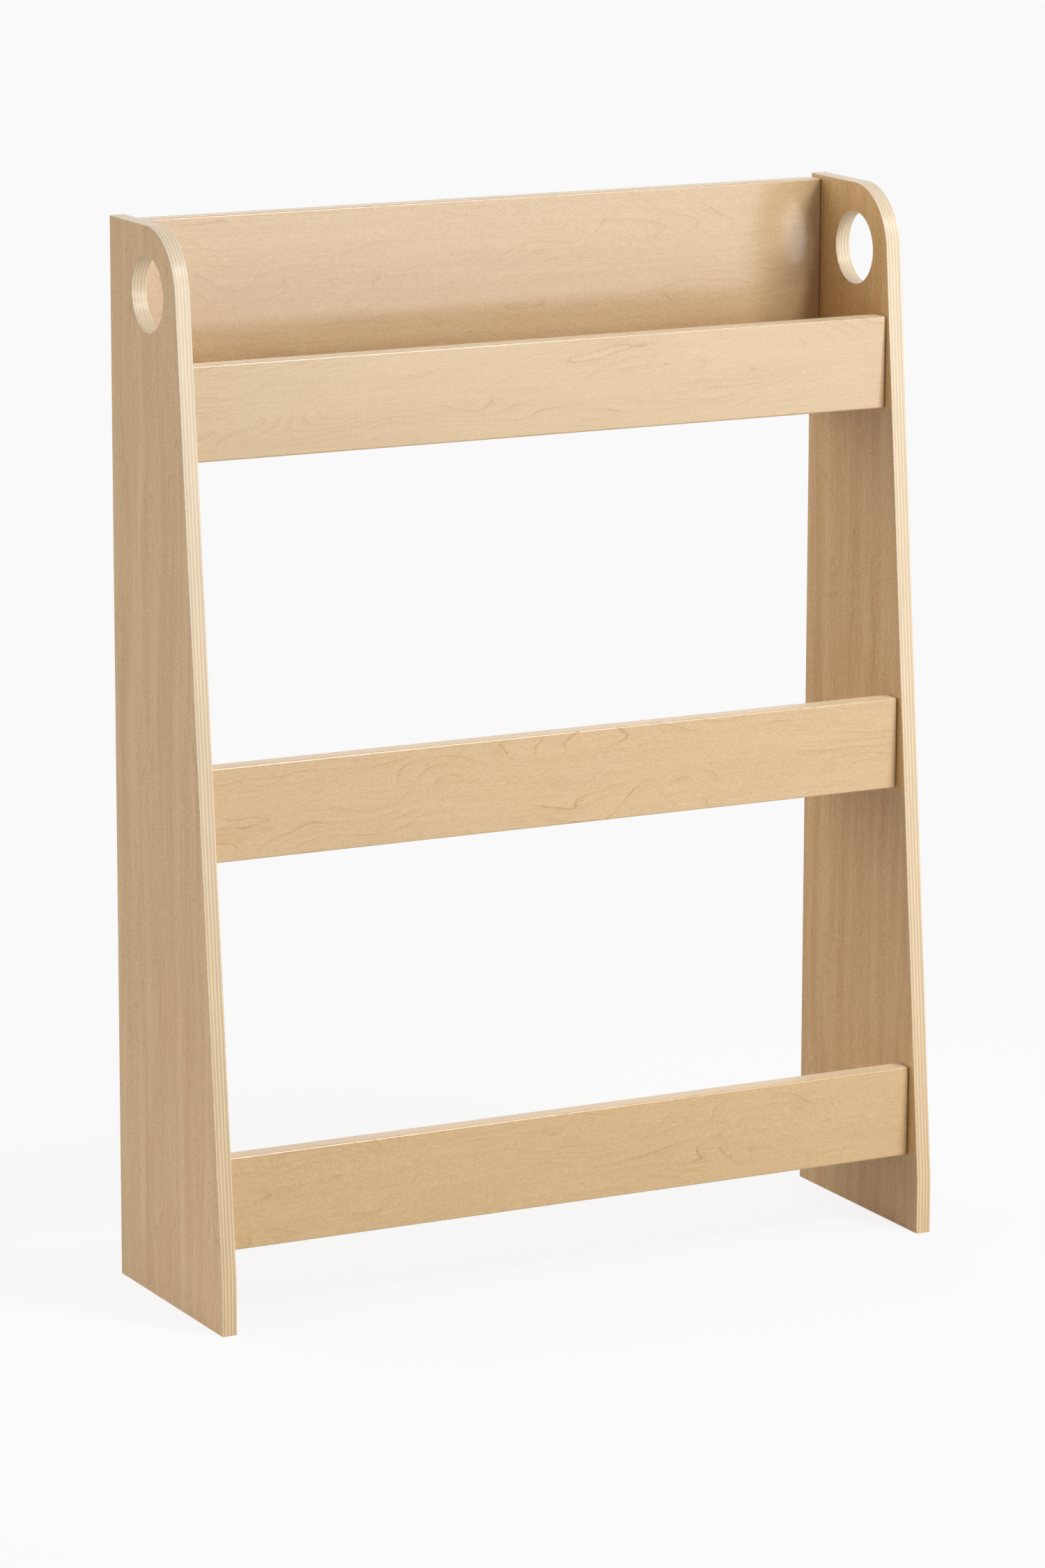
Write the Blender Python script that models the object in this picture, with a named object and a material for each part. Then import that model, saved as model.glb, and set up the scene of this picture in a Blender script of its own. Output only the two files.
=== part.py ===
"""A bookcase of three shallow trays carried between two sloping plywood side panels.

Metres, +Z up. The origin is on the floor under the middle of the footprint, and the front faces -Y.
"""

import math

import bmesh
import bpy
from mathutils import Matrix, Vector

# Side panels
OUTER_WIDTH = 0.600
SIDE_HEIGHT = 0.800
SIDE_THICKNESS = 0.012
SIDE_BASE_DEPTH = 0.181
SIDE_TOP_DEPTH = 0.110
SIDE_FOOT_HEIGHT = 0.043
SIDE_CORNER_RADIUS = 0.049
SIDE_ARRIS = 0.0005

# Handle holes through the side panels
HANDLE_DIAMETER = 0.055
HANDLE_FROM_TOP = 0.050
HANDLE_FROM_BACK = 0.066

# Rails, shelves and back panel
BOARD_THICKNESS = 0.015
BOARD_EDGE_RADIUS = 0.002
RAIL_HEIGHT = 0.070
SHELF_RISE = 0.003
SHELF_ARRIS = 0.0005
BACK_PANEL_TOP_DROP = 0.003

# Heights of the rails' bottom edges: the top one below the panels' top, the bottom one above the floor,
# and the middle one as a share of the way between them
TOP_RAIL_DROP = 0.1665
BOTTOM_RAIL_BOTTOM = 0.0595
MIDDLE_RAIL_SHARE = 0.4956

# How far the rails' front faces stand before the back, as shares of the panels' depth at the same height
TOP_REACH_SHARE = 0.944
MIDDLE_REACH_SHARE = 0.940
BOTTOM_REACH_SHARE = 0.942

# Clearances
JOINT_GAP = 0.0003
FIT_GAP = 0.0003
CUT_OVERRUN = 0.004
BLIND_SKIN = 0.0025

# Wooden dowels, with their places as shares of the edge that they stand in
DOWEL_DIAMETER = 0.008
DOWEL_LENGTH = 0.030
DOWEL_CHAMFER = 0.001
RAIL_DOWEL_SHARES = (0.3, 0.7)
SHELF_DOWEL_SHARES = (0.82,)
BACK_DOWEL_SHARES = (0.2, 0.8)
TRAY_DOWEL_SHARES = (0.15, 0.5, 0.85)

# Cam bolts and cam locks, with their places as shares of the board's end
CAM_DIAMETER = 0.015
CAM_FROM_SIDE = 0.024
CAM_WALL = 0.0025
CAM_CROSS_LENGTH = 0.007
CAM_CROSS_WIDTH = 0.0016
CAM_CROSS_DEPTH_SHARE = 0.6
CAM_MOUTH_ANGLE = math.radians(110)
SHELF_CAM_SHARE = 0.42
BACK_CAM_SHARE = 0.5
BOLT_THREAD_DIAMETER = 0.005
BOLT_SHANK_DIAMETER = 0.006
BOLT_NECK_DIAMETER = 0.0034
BOLT_HEAD_DIAMETER = 0.0055
BOLT_HEAD_LENGTH = 0.003

# Facet counts and the steepest turn that still looks round
SMOOTH_ANGLE = math.radians(40)
CORNER_STEPS = 12
HANDLE_SIDES = 40
DOWEL_SIDES = 10
CAM_SIDES = 16
SLOT_STEPS = 5
EDGE_SEGMENTS = 3

# Sizes worked out from those above
INNER_HALF_WIDTH = OUTER_WIDTH / 2 - SIDE_THICKNESS
BOARD_HALF_LENGTH = INNER_HALF_WIDTH - JOINT_GAP
BACK_Y = SIDE_BASE_DEPTH / 2
FRONT_Y = -SIDE_BASE_DEPTH / 2
FRONT_SLOPE = (SIDE_BASE_DEPTH - SIDE_TOP_DEPTH) / (SIDE_HEIGHT - SIDE_FOOT_HEIGHT)
TOP_RAIL_BOTTOM = SIDE_HEIGHT - TOP_RAIL_DROP
MIDDLE_RAIL_BOTTOM = BOTTOM_RAIL_BOTTOM + (TOP_RAIL_BOTTOM - BOTTOM_RAIL_BOTTOM) * MIDDLE_RAIL_SHARE
DOWEL_RADIUS = DOWEL_DIAMETER / 2
DOWEL_BORE_RADIUS = DOWEL_RADIUS + FIT_GAP
SIDE_BORE_DEPTH = SIDE_THICKNESS - BLIND_SKIN
RAIL_BORE_DEPTH = BOARD_THICKNESS - BLIND_SKIN
CAM_RADIUS = CAM_DIAMETER / 2
CAM_CAVITY_RADIUS = CAM_RADIUS - CAM_WALL
CAM_CAVITY_HEIGHT = BOLT_HEAD_DIAMETER + 2 * FIT_GAP
CAM_OPEN_FACE = BOARD_THICKNESS / 2 - FIT_GAP
CAM_BLIND_FACE = BLIND_SKIN + FIT_GAP - BOARD_THICKNESS / 2

AXIS_X = Vector((1, 0, 0))
AXIS_Y = Vector((0, 1, 0))
AXIS_Z = Vector((0, 0, 1))
ENDS = {"left": -1, "right": 1}


def clear_scene():
    for item in list(bpy.data.objects):
        bpy.data.objects.remove(item, do_unlink=True)


def make_material(name, colour, roughness, metallic):
    """A plain Principled material with one colour."""
    material = bpy.data.materials.new(name)
    material.use_nodes = True
    shader = material.node_tree.nodes["Principled BSDF"]
    shader.inputs["Base Color"].default_value = (*colour, 1)
    shader.inputs["Roughness"].default_value = roughness
    shader.inputs["Metallic"].default_value = metallic
    return material


def make_materials():
    return {
        "side": make_material("side_veneer", (0.51, 0.34, 0.19), 0.38, 0),
        "board": make_material("board_veneer", (0.68, 0.50, 0.31), 0.38, 0),
        "shelf": make_material("shelf_veneer", (0.62, 0.45, 0.27), 0.42, 0),
        "dowel": make_material("dowel_wood", (0.60, 0.42, 0.24), 0.70, 0),
        "bolt": make_material("bolt_steel", (0.56, 0.57, 0.58), 0.35, 1),
        "cam": make_material("cam_zinc", (0.47, 0.48, 0.50), 0.45, 1),
    }


def mesh_from_bmesh(name, bm):
    """Closes off a bmesh as a mesh whose faces point out, smooth over its round stretches."""
    bmesh.ops.recalc_face_normals(bm, faces=bm.faces)
    mesh = bpy.data.meshes.new(name)
    bm.to_mesh(mesh)
    bm.free()
    mesh.shade_smooth()
    mesh.set_sharp_from_angle(angle=SMOOTH_ANGLE)
    return mesh


def add_object(name, mesh):
    item = bpy.data.objects.new(name, mesh)
    bpy.context.scene.collection.objects.link(item)
    return item


def add_bevel(item, width, segments):
    modifier = item.modifiers.new("edges", "BEVEL")
    modifier.width = width
    modifier.segments = segments
    modifier.limit_method = "ANGLE"
    modifier.angle_limit = SMOOTH_ANGLE
    modifier.harden_normals = True


def cut_away(item, name, bm):
    """Takes the closed bodies in the bmesh out of the item."""
    cutter = add_object(name, mesh_from_bmesh(name, bm))
    cutter.hide_render = True
    cutter.display_type = "WIRE"
    modifier = item.modifiers.new(name, "BOOLEAN")
    modifier.operation = "DIFFERENCE"
    modifier.solver = "EXACT"
    modifier.object = cutter
    return cutter


def add_turned(bm, origin, axis, profile, sides):
    """Adds a closed turned body: the profile gives pairs of place along the axis and radius."""
    across = AXIS_Z if abs(axis.dot(AXIS_Z)) < abs(axis.dot(AXIS_X + AXIS_Y)) else AXIS_X
    upward = axis.cross(across)
    rings = []
    for place, radius in profile:
        ring = []
        for step in range(sides):
            angle = 2 * math.pi * step / sides
            spoke = across * math.cos(angle) + upward * math.sin(angle)
            ring.append(bm.verts.new(origin + axis * place + spoke * radius))
        rings.append(ring)
    for first, second in zip(rings, rings[1:]):
        for step in range(sides):
            after = (step + 1) % sides
            bm.faces.new((first[step], first[after], second[after], second[step]))
    bm.faces.new(rings[0])
    bm.faces.new(rings[-1])


def add_prism(bm, outline, axis, near, far):
    """Adds a closed prism: the outline's points are carried along the axis from near to far."""
    lower = [bm.verts.new(point + axis * near) for point in outline]
    upper = [bm.verts.new(point + axis * far) for point in outline]
    count = len(outline)
    for step in range(count):
        after = (step + 1) % count
        bm.faces.new((lower[step], lower[after], upper[after], upper[step]))
    bm.faces.new(lower)
    bm.faces.new(upper)


def make_board(name, low, high, edge, segments, material):
    """A flat board between two corners, with all its edges eased."""
    bm = bmesh.new()
    outline = [
        Vector((low.x, low.y, 0)),
        Vector((high.x, low.y, 0)),
        Vector((high.x, high.y, 0)),
        Vector((low.x, high.y, 0)),
    ]
    add_prism(bm, outline, AXIS_Z, low.z, high.z)
    board = add_object(name, mesh_from_bmesh(name, bm))
    board.data.materials.append(material)
    add_bevel(board, edge, segments)
    return board


# Side panels


def side_outline():
    """The panel's outline in its own plane, as pairs of Y and Z, from the rear foot to the front."""
    lean = math.atan(FRONT_SLOPE)
    centre_z = SIDE_HEIGHT - SIDE_CORNER_RADIUS
    slant_y = FRONT_Y + (centre_z - SIDE_FOOT_HEIGHT) * FRONT_SLOPE
    centre_y = slant_y + SIDE_CORNER_RADIUS / math.cos(lean)
    points = [(BACK_Y, 0), (FRONT_Y, 0), (FRONT_Y, SIDE_FOOT_HEIGHT)]
    turn = math.pi / 2 - lean
    for step in range(CORNER_STEPS + 1):
        angle = lean + turn * step / CORNER_STEPS
        y = centre_y - SIDE_CORNER_RADIUS * math.cos(angle)
        z = centre_z + SIDE_CORNER_RADIUS * math.sin(angle)
        points.append((y, z))
    points.append((BACK_Y, SIDE_HEIGHT))
    return points


def make_side(name, end, bores, material):
    """One side panel, on the left for end -1, with its handle hole and the bores of its inner face."""
    inner = end * INNER_HALF_WIDTH
    outer = end * OUTER_WIDTH / 2
    bm = bmesh.new()
    add_prism(bm, [Vector((0, y, z)) for y, z in side_outline()], AXIS_X, inner, outer)
    panel = add_object(name, mesh_from_bmesh(name, bm))
    panel.data.materials.append(material)
    add_bevel(panel, SIDE_ARRIS, 1)

    radius = HANDLE_DIAMETER / 2
    centre = Vector((inner, BACK_Y - HANDLE_FROM_BACK, SIDE_HEIGHT - HANDLE_FROM_TOP))
    flare = radius + SIDE_ARRIS + CUT_OVERRUN
    profile = [
        (-CUT_OVERRUN, flare),
        (SIDE_ARRIS, radius),
        (SIDE_THICKNESS - SIDE_ARRIS, radius),
        (SIDE_THICKNESS + CUT_OVERRUN, flare),
    ]
    hole = bmesh.new()
    add_turned(hole, centre, AXIS_X * end, profile, HANDLE_SIDES)
    cut_away(panel, name + "_handle_cutter", hole)

    holes = bmesh.new()
    for y, z, radius in bores:
        place = Vector((inner, y, z))
        bore_profile = [(-CUT_OVERRUN, radius), (SIDE_BORE_DEPTH, radius)]
        add_turned(holes, place, AXIS_X * end, bore_profile, DOWEL_SIDES)
    cut_away(panel, name + "_bore_cutter", holes)
    return panel


# Patterns of the fittings, each along +X from the face that it is sunk in


def make_dowel_pattern(name, sunk, material):
    """A dowel that goes into the piece behind its origin as deep as sunk, less its end gap."""
    start = FIT_GAP - sunk
    profile = [
        (start, DOWEL_RADIUS - DOWEL_CHAMFER),
        (start + DOWEL_CHAMFER, DOWEL_RADIUS),
        (start + DOWEL_LENGTH - DOWEL_CHAMFER, DOWEL_RADIUS),
        (start + DOWEL_LENGTH, DOWEL_RADIUS - DOWEL_CHAMFER),
    ]
    bm = bmesh.new()
    add_turned(bm, Vector(), AXIS_X, profile, DOWEL_SIDES)
    pattern = mesh_from_bmesh(name, bm)
    pattern.materials.append(material)
    return pattern


def make_bolt_pattern(material):
    """A cam bolt, from its thread in the side panel to its head in the cam."""
    shank_end = CAM_FROM_SIDE - CAM_RADIUS - 2 * FIT_GAP
    cavity_reach = CAM_CAVITY_RADIUS - 2 * FIT_GAP
    head_start = CAM_FROM_SIDE - math.sqrt(cavity_reach**2 - (BOLT_HEAD_DIAMETER / 2) ** 2)
    head_end = head_start + BOLT_HEAD_LENGTH
    profile = [
        (FIT_GAP - SIDE_BORE_DEPTH, BOLT_THREAD_DIAMETER / 2),
        (FIT_GAP, BOLT_THREAD_DIAMETER / 2),
        (FIT_GAP, BOLT_SHANK_DIAMETER / 2),
        (shank_end, BOLT_SHANK_DIAMETER / 2),
        (shank_end, BOLT_NECK_DIAMETER / 2),
        (head_start, BOLT_NECK_DIAMETER / 2),
        (head_start, BOLT_HEAD_DIAMETER / 2),
        (head_end, BOLT_HEAD_DIAMETER / 2),
    ]
    bm = bmesh.new()
    add_turned(bm, Vector(), AXIS_X, profile, DOWEL_SIDES)
    pattern = mesh_from_bmesh("cam_bolt", bm)
    pattern.materials.append(material)
    return pattern


def cam_slot_outline():
    """The curved slot that the bolt's neck runs in while the cam turns."""
    half_neck = BOLT_NECK_DIAMETER / 2 + FIT_GAP
    first = -math.asin(half_neck / CAM_CAVITY_RADIUS)
    inner_radius = CAM_CAVITY_RADIUS / 2
    outer_radius = CAM_RADIUS + CUT_OVERRUN
    angles = [first + (CAM_MOUTH_ANGLE - first) * step / SLOT_STEPS for step in range(SLOT_STEPS + 1)]
    outer = [Vector((math.cos(angle), math.sin(angle), 0)) * outer_radius for angle in angles]
    inner = [Vector((math.cos(angle), math.sin(angle), 0)) * inner_radius for angle in reversed(angles)]
    return outer + inner


def cam_cross_outline():
    """The driver recess, a cross with square ends."""
    length = CAM_CROSS_LENGTH / 2
    width = CAM_CROSS_WIDTH / 2
    quarter = [(length, -width), (length, width), (width, width)]
    points = []
    for turn in range(4):
        spin = Matrix.Rotation(turn * math.pi / 2, 3, "Z")
        points += [spin @ Vector((x, y, 0)) for x, y in quarter]
    return points


def cam_cutting_shapes():
    """The cavity for the bolt's head, the slot for its neck, the mouth between them and the cross."""
    half_cavity = CAM_CAVITY_HEIGHT / 2
    cavity_profile = [(-half_cavity, CAM_CAVITY_RADIUS), (half_cavity, CAM_CAVITY_RADIUS)]
    half_slot = BOLT_NECK_DIAMETER / 2 + FIT_GAP
    mouth_axis = Vector((math.cos(CAM_MOUTH_ANGLE), math.sin(CAM_MOUTH_ANGLE), 0))
    mouth_radius = BOLT_HEAD_DIAMETER / 2 + FIT_GAP
    mouth_profile = [(0, mouth_radius), (CAM_RADIUS + CUT_OVERRUN, mouth_radius)]
    cross_floor = CAM_OPEN_FACE - (CAM_OPEN_FACE - half_cavity) * CAM_CROSS_DEPTH_SHARE

    cavity = bmesh.new()
    add_turned(cavity, Vector(), AXIS_Z, cavity_profile, CAM_SIDES)
    slot = bmesh.new()
    add_prism(slot, cam_slot_outline(), AXIS_Z, -half_slot, half_slot)
    mouth = bmesh.new()
    add_turned(mouth, Vector(), mouth_axis, mouth_profile, DOWEL_SIDES)
    cross = bmesh.new()
    add_prism(cross, cam_cross_outline(), AXIS_Z, cross_floor, CAM_OPEN_FACE + CUT_OVERRUN)
    return {"cavity": cavity, "slot": slot, "mouth": mouth, "cross": cross}


def make_cam_pattern(material):
    """A cam lock about its own middle: +X runs to the side panel and +Z out of the housing."""
    radius = CAM_RADIUS - FIT_GAP
    bm = bmesh.new()
    add_turned(bm, Vector(), AXIS_Z, [(CAM_BLIND_FACE, radius), (CAM_OPEN_FACE, radius)], CAM_SIDES)
    cam = add_object("cam_pattern", mesh_from_bmesh("cam_pattern", bm))
    cutters = [cut_away(cam, "cam_" + name, shape) for name, shape in cam_cutting_shapes().items()]
    bpy.context.view_layer.update()
    evaluated = cam.evaluated_get(bpy.context.evaluated_depsgraph_get())
    pattern = bpy.data.meshes.new_from_object(evaluated)
    pattern.name = "cam_lock"
    pattern.materials.clear()
    pattern.materials.append(material)
    for item in (cam, *cutters):
        bpy.data.objects.remove(item, do_unlink=True)
    return pattern


def make_patterns(materials):
    return {
        "end_dowel": make_dowel_pattern("end_dowel", SIDE_BORE_DEPTH, materials["dowel"]),
        "face_dowel": make_dowel_pattern("face_dowel", RAIL_BORE_DEPTH, materials["dowel"]),
        "bolt": make_bolt_pattern(materials["bolt"]),
        "cam": make_cam_pattern(materials["cam"]),
    }


# The fittings in their places


def place_copy(name, pattern, origin, along, upward):
    """A copy of a pattern whose +X runs along one direction and whose +Z points another way."""
    turn = Matrix((along, upward.cross(along), upward)).transposed().to_4x4()
    item = add_object(name, pattern)
    item.matrix_world = Matrix.Translation(origin) @ turn
    return item


def place_end_dowels(name, places, pattern):
    """Dowels between both ends of a board and the side panels, at the given pairs of Y and Z."""
    for side, end in ENDS.items():
        for number, (y, z) in enumerate(places, 1):
            origin = Vector((end * INNER_HALF_WIDTH, y, z))
            place_copy(f"{name}_{side}_{number}", pattern, origin, AXIS_X * -end, AXIS_Z)


def place_face_dowels(name, face_y, direction, z, pattern):
    """Dowels between the face of an upright board and the edge of a shelf."""
    for number, x in enumerate(tray_dowel_places(), 1):
        place_copy(f"{name}_{number}", pattern, Vector((x, face_y, z)), AXIS_Y * direction, AXIS_Z)


def place_cam_fittings(name, y, z, outward, patterns):
    """A cam bolt and its cam lock at each end of a board; the housings open towards outward."""
    for side, end in ENDS.items():
        inner_face = Vector((end * INNER_HALF_WIDTH, y, z))
        centre = inner_face - AXIS_X * end * CAM_FROM_SIDE
        place_copy(f"{name}_cam_bolt_{side}", patterns["bolt"], inner_face, AXIS_X * -end, AXIS_Z)
        place_copy(f"{name}_cam_lock_{side}", patterns["cam"], centre, AXIS_X * end, outward)


def tray_dowel_places():
    return [(2 * share - 1) * BOARD_HALF_LENGTH for share in TRAY_DOWEL_SHARES]


# Bores and housings in the boards


def add_dowel_bore(bm, origin, axis, sunk):
    """Adds the bore for the dowel's other end, which starts at the same origin as the dowel."""
    depth = DOWEL_LENGTH - sunk + 2 * FIT_GAP
    profile = [(-CUT_OVERRUN, DOWEL_BORE_RADIUS), (depth, DOWEL_BORE_RADIUS)]
    add_turned(bm, origin, axis, profile, DOWEL_SIDES)


def cut_end_bores(board, dowel_places):
    """Bores both ends of a board for its dowels."""
    bores = bmesh.new()
    for end in ENDS.values():
        for y, z in dowel_places:
            add_dowel_bore(bores, Vector((end * INNER_HALF_WIDTH, y, z)), AXIS_X * -end, SIDE_BORE_DEPTH)
    cut_away(board, board.name + "_end_cutter", bores)


def cut_cam_seats(board, cam_y, cam_z, outward):
    """Bores both ends of a board for the cam bolts, and sinks the housings of the cam locks."""
    bolt_radius = BOLT_SHANK_DIAMETER / 2 + FIT_GAP
    bolt_profile = [(-CUT_OVERRUN, bolt_radius), (CAM_FROM_SIDE, bolt_radius)]
    floor = BLIND_SKIN - BOARD_THICKNESS / 2
    rim = BOARD_THICKNESS / 2 + CUT_OVERRUN
    bores = bmesh.new()
    housings = bmesh.new()
    for end in ENDS.values():
        inner_face = Vector((end * INNER_HALF_WIDTH, cam_y, cam_z))
        centre = inner_face - AXIS_X * end * CAM_FROM_SIDE
        add_turned(bores, inner_face, AXIS_X * -end, bolt_profile, DOWEL_SIDES)
        add_turned(housings, centre, outward, [(floor, CAM_RADIUS), (rim, CAM_RADIUS)], CAM_SIDES)
    cut_away(board, board.name + "_bolt_cutter", bores)
    cut_away(board, board.name + "_housing_cutter", housings)


def cut_face_bores(board, face_y, direction, z):
    """Bores the face of an upright board for the dowels that carry a shelf."""
    bores = bmesh.new()
    profile = [(-CUT_OVERRUN, DOWEL_BORE_RADIUS), (RAIL_BORE_DEPTH, DOWEL_BORE_RADIUS)]
    for x in tray_dowel_places():
        add_turned(bores, Vector((x, face_y, z)), AXIS_Y * direction, profile, DOWEL_SIDES)
    cut_away(board, board.name + "_face_cutter", bores)


def cut_edge_bores(board, face_y, direction, z):
    """Bores the edge of a shelf for the dowels that stand in an upright board's face."""
    bores = bmesh.new()
    for x in tray_dowel_places():
        add_dowel_bore(bores, Vector((x, face_y, z)), AXIS_Y * direction, RAIL_BORE_DEPTH)
    cut_away(board, f"{board.name}_edge_cutter_{'rear' if direction < 0 else 'front'}", bores)


# Trays


def share_places(low, high, shares):
    return [low + (high - low) * share for share in shares]


def reach_of_rail(bottom, reach_share):
    """How far a rail's front face stands before the back, by the panels' depth behind its middle."""
    middle = bottom + RAIL_HEIGHT / 2
    depth = SIDE_BASE_DEPTH - (middle - SIDE_FOOT_HEIGHT) * FRONT_SLOPE
    return depth * reach_share


def make_rail(name, bottom, reach, shelf_middle, material):
    """A front rail; returns the pairs of Y and Z of the dowels in its ends."""
    front = BACK_Y - reach
    rear = front + BOARD_THICKNESS
    top = bottom + RAIL_HEIGHT
    low = Vector((-BOARD_HALF_LENGTH, front, bottom))
    high = Vector((BOARD_HALF_LENGTH, rear, top))
    rail = make_board(name, low, high, BOARD_EDGE_RADIUS, EDGE_SEGMENTS, material)
    dowels = [(front + BOARD_THICKNESS / 2, z) for z in share_places(bottom, top, RAIL_DOWEL_SHARES)]
    cut_end_bores(rail, dowels)
    cut_face_bores(rail, rear, -1, shelf_middle)
    return dowels


def make_tray(name, rail_bottom, rail_reach, shelf_rear, materials, patterns):
    """A rail and its shelf with their fittings; returns the shelf and the bores for the side panels."""
    rail_rear = BACK_Y - rail_reach + BOARD_THICKNESS
    shelf_bottom = rail_bottom + SHELF_RISE
    shelf_middle = shelf_bottom + BOARD_THICKNESS / 2
    rail_dowels = make_rail(name + "_rail", rail_bottom, rail_reach, shelf_middle, materials["board"])

    shelf_front = rail_rear + JOINT_GAP
    low = Vector((-BOARD_HALF_LENGTH, shelf_front, shelf_bottom))
    high = Vector((BOARD_HALF_LENGTH, shelf_rear, shelf_bottom + BOARD_THICKNESS))
    shelf = make_board(name + "_shelf", low, high, SHELF_ARRIS, 1, materials["shelf"])
    shelf_dowels = [(y, shelf_middle) for y in share_places(shelf_front, shelf_rear, SHELF_DOWEL_SHARES)]
    cam_y = shelf_front + (shelf_rear - shelf_front) * SHELF_CAM_SHARE
    cut_end_bores(shelf, shelf_dowels)
    cut_cam_seats(shelf, cam_y, shelf_middle, -AXIS_Z)
    cut_edge_bores(shelf, rail_rear, 1, shelf_middle)

    place_end_dowels(name + "_rail_dowel", rail_dowels, patterns["end_dowel"])
    place_end_dowels(name + "_shelf_dowel", shelf_dowels, patterns["end_dowel"])
    place_face_dowels(name + "_tray_dowel", rail_rear, 1, shelf_middle, patterns["face_dowel"])
    place_cam_fittings(name + "_shelf", cam_y, shelf_middle, -AXIS_Z, patterns)

    bores = [(y, z, DOWEL_BORE_RADIUS) for y, z in rail_dowels + shelf_dowels]
    bores.append((cam_y, shelf_middle, BOLT_THREAD_DIAMETER / 2 + FIT_GAP))
    return shelf, bores


def make_back_panel(top_shelf, materials, patterns):
    """The board behind the top tray, dowelled to its shelf; returns the bores for the side panels."""
    bottom = TOP_RAIL_BOTTOM
    top = SIDE_HEIGHT - BACK_PANEL_TOP_DROP
    front = BACK_Y - BOARD_THICKNESS
    middle = BACK_Y - BOARD_THICKNESS / 2
    shelf_middle = TOP_RAIL_BOTTOM + SHELF_RISE + BOARD_THICKNESS / 2
    low = Vector((-BOARD_HALF_LENGTH, front, bottom))
    high = Vector((BOARD_HALF_LENGTH, BACK_Y, top))
    panel = make_board("back_panel", low, high, BOARD_EDGE_RADIUS, EDGE_SEGMENTS, materials["board"])
    dowels = [(middle, z) for z in share_places(bottom, top, BACK_DOWEL_SHARES)]
    cam_z = bottom + (top - bottom) * BACK_CAM_SHARE
    cut_end_bores(panel, dowels)
    cut_cam_seats(panel, middle, cam_z, AXIS_Y)
    cut_face_bores(panel, front, 1, shelf_middle)
    cut_edge_bores(top_shelf, front, -1, shelf_middle)

    place_end_dowels("back_panel_dowel", dowels, patterns["end_dowel"])
    place_face_dowels("back_panel_shelf_dowel", front, -1, shelf_middle, patterns["face_dowel"])
    place_cam_fittings("back_panel", middle, cam_z, AXIS_Y, patterns)

    bores = [(y, z, DOWEL_BORE_RADIUS) for y, z in dowels]
    bores.append((middle, cam_z, BOLT_THREAD_DIAMETER / 2 + FIT_GAP))
    return bores


def main():
    clear_scene()
    materials = make_materials()
    patterns = make_patterns(materials)
    trays = {
        "top": (TOP_RAIL_BOTTOM, TOP_REACH_SHARE, BACK_Y - BOARD_THICKNESS - JOINT_GAP),
        "middle": (MIDDLE_RAIL_BOTTOM, MIDDLE_REACH_SHARE, BACK_Y),
        "bottom": (BOTTOM_RAIL_BOTTOM, BOTTOM_REACH_SHARE, BACK_Y),
    }
    shelves = {}
    bores = []
    for name, (rail_bottom, reach_share, shelf_rear) in trays.items():
        rail_reach = reach_of_rail(rail_bottom, reach_share)
        shelves[name], found = make_tray(name, rail_bottom, rail_reach, shelf_rear, materials, patterns)
        bores += found
    bores += make_back_panel(shelves["top"], materials, patterns)
    for side, end in ENDS.items():
        make_side(side + "_side_panel", end, bores, materials["side"])


main()
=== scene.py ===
"""The looks of the bookcase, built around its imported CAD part.

Metres, +Z up, the front faces -Y and the object stands on the floor at Z 0.
Every board of the CAD part is replaced by a finer mesh in the same place, with the same bores.
The dowels, bolts and locks stay as they are and only get their materials.
"""

import math
from collections import namedtuple

import bmesh
import bpy
from mathutils import Matrix, Vector


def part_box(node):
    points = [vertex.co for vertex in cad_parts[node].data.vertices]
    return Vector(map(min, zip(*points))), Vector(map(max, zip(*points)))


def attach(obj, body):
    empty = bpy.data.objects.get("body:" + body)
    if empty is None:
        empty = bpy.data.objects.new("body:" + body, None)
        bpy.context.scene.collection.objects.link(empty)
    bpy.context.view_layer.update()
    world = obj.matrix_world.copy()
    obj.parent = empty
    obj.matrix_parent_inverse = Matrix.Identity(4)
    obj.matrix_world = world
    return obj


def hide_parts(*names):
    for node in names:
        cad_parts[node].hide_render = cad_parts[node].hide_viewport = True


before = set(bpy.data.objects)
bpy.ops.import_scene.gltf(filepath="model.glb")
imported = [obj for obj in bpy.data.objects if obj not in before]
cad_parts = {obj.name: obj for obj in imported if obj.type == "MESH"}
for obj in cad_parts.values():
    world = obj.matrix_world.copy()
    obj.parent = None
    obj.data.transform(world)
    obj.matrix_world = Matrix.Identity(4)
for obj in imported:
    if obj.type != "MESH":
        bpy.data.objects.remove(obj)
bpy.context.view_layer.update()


def rgb(red, green, blue):
    return (red, green, blue, 1.0)


AXIS_X = Vector((1, 0, 0))
AXIS_Y = Vector((0, 1, 0))
AXIS_Z = Vector((0, 0, 1))
ENDS = {"left": -1, "right": 1}

# Side panels, as in the CAD part
SIDE_FOOT_HEIGHT = 0.043
SIDE_TOP_DEPTH = 0.110
SIDE_CORNER_RADIUS = 0.049
SIDE_ARRIS = 0.0006
HANDLE_DIAMETER = 0.055
HANDLE_FROM_TOP = 0.050
HANDLE_FROM_BACK = 0.066
PLY_COUNT = 9

# Boards
BOARD_EDGE_RADIUS = 0.0012
SHELF_ARRIS = 0.0006

# Bores
FIT_GAP = 0.0003
CUT_OVERRUN = 0.004

# Facets
CORNER_STEPS = 48
HANDLE_SIDES = 128
BORE_SIDES = 32
FLOOR_SIDES = 96
EDGE_SEGMENTS = 6
ARRIS_SEGMENTS = 3
ROUND_PROFILE = 0.5
SMOOTH_ANGLE = math.radians(35)
NORMAL_WEIGHT = 100

# How squarely a facet must face an axis to take that face's material
BAND_SQUARENESS = 0.95
FACE_SQUARENESS = 0.999

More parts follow.
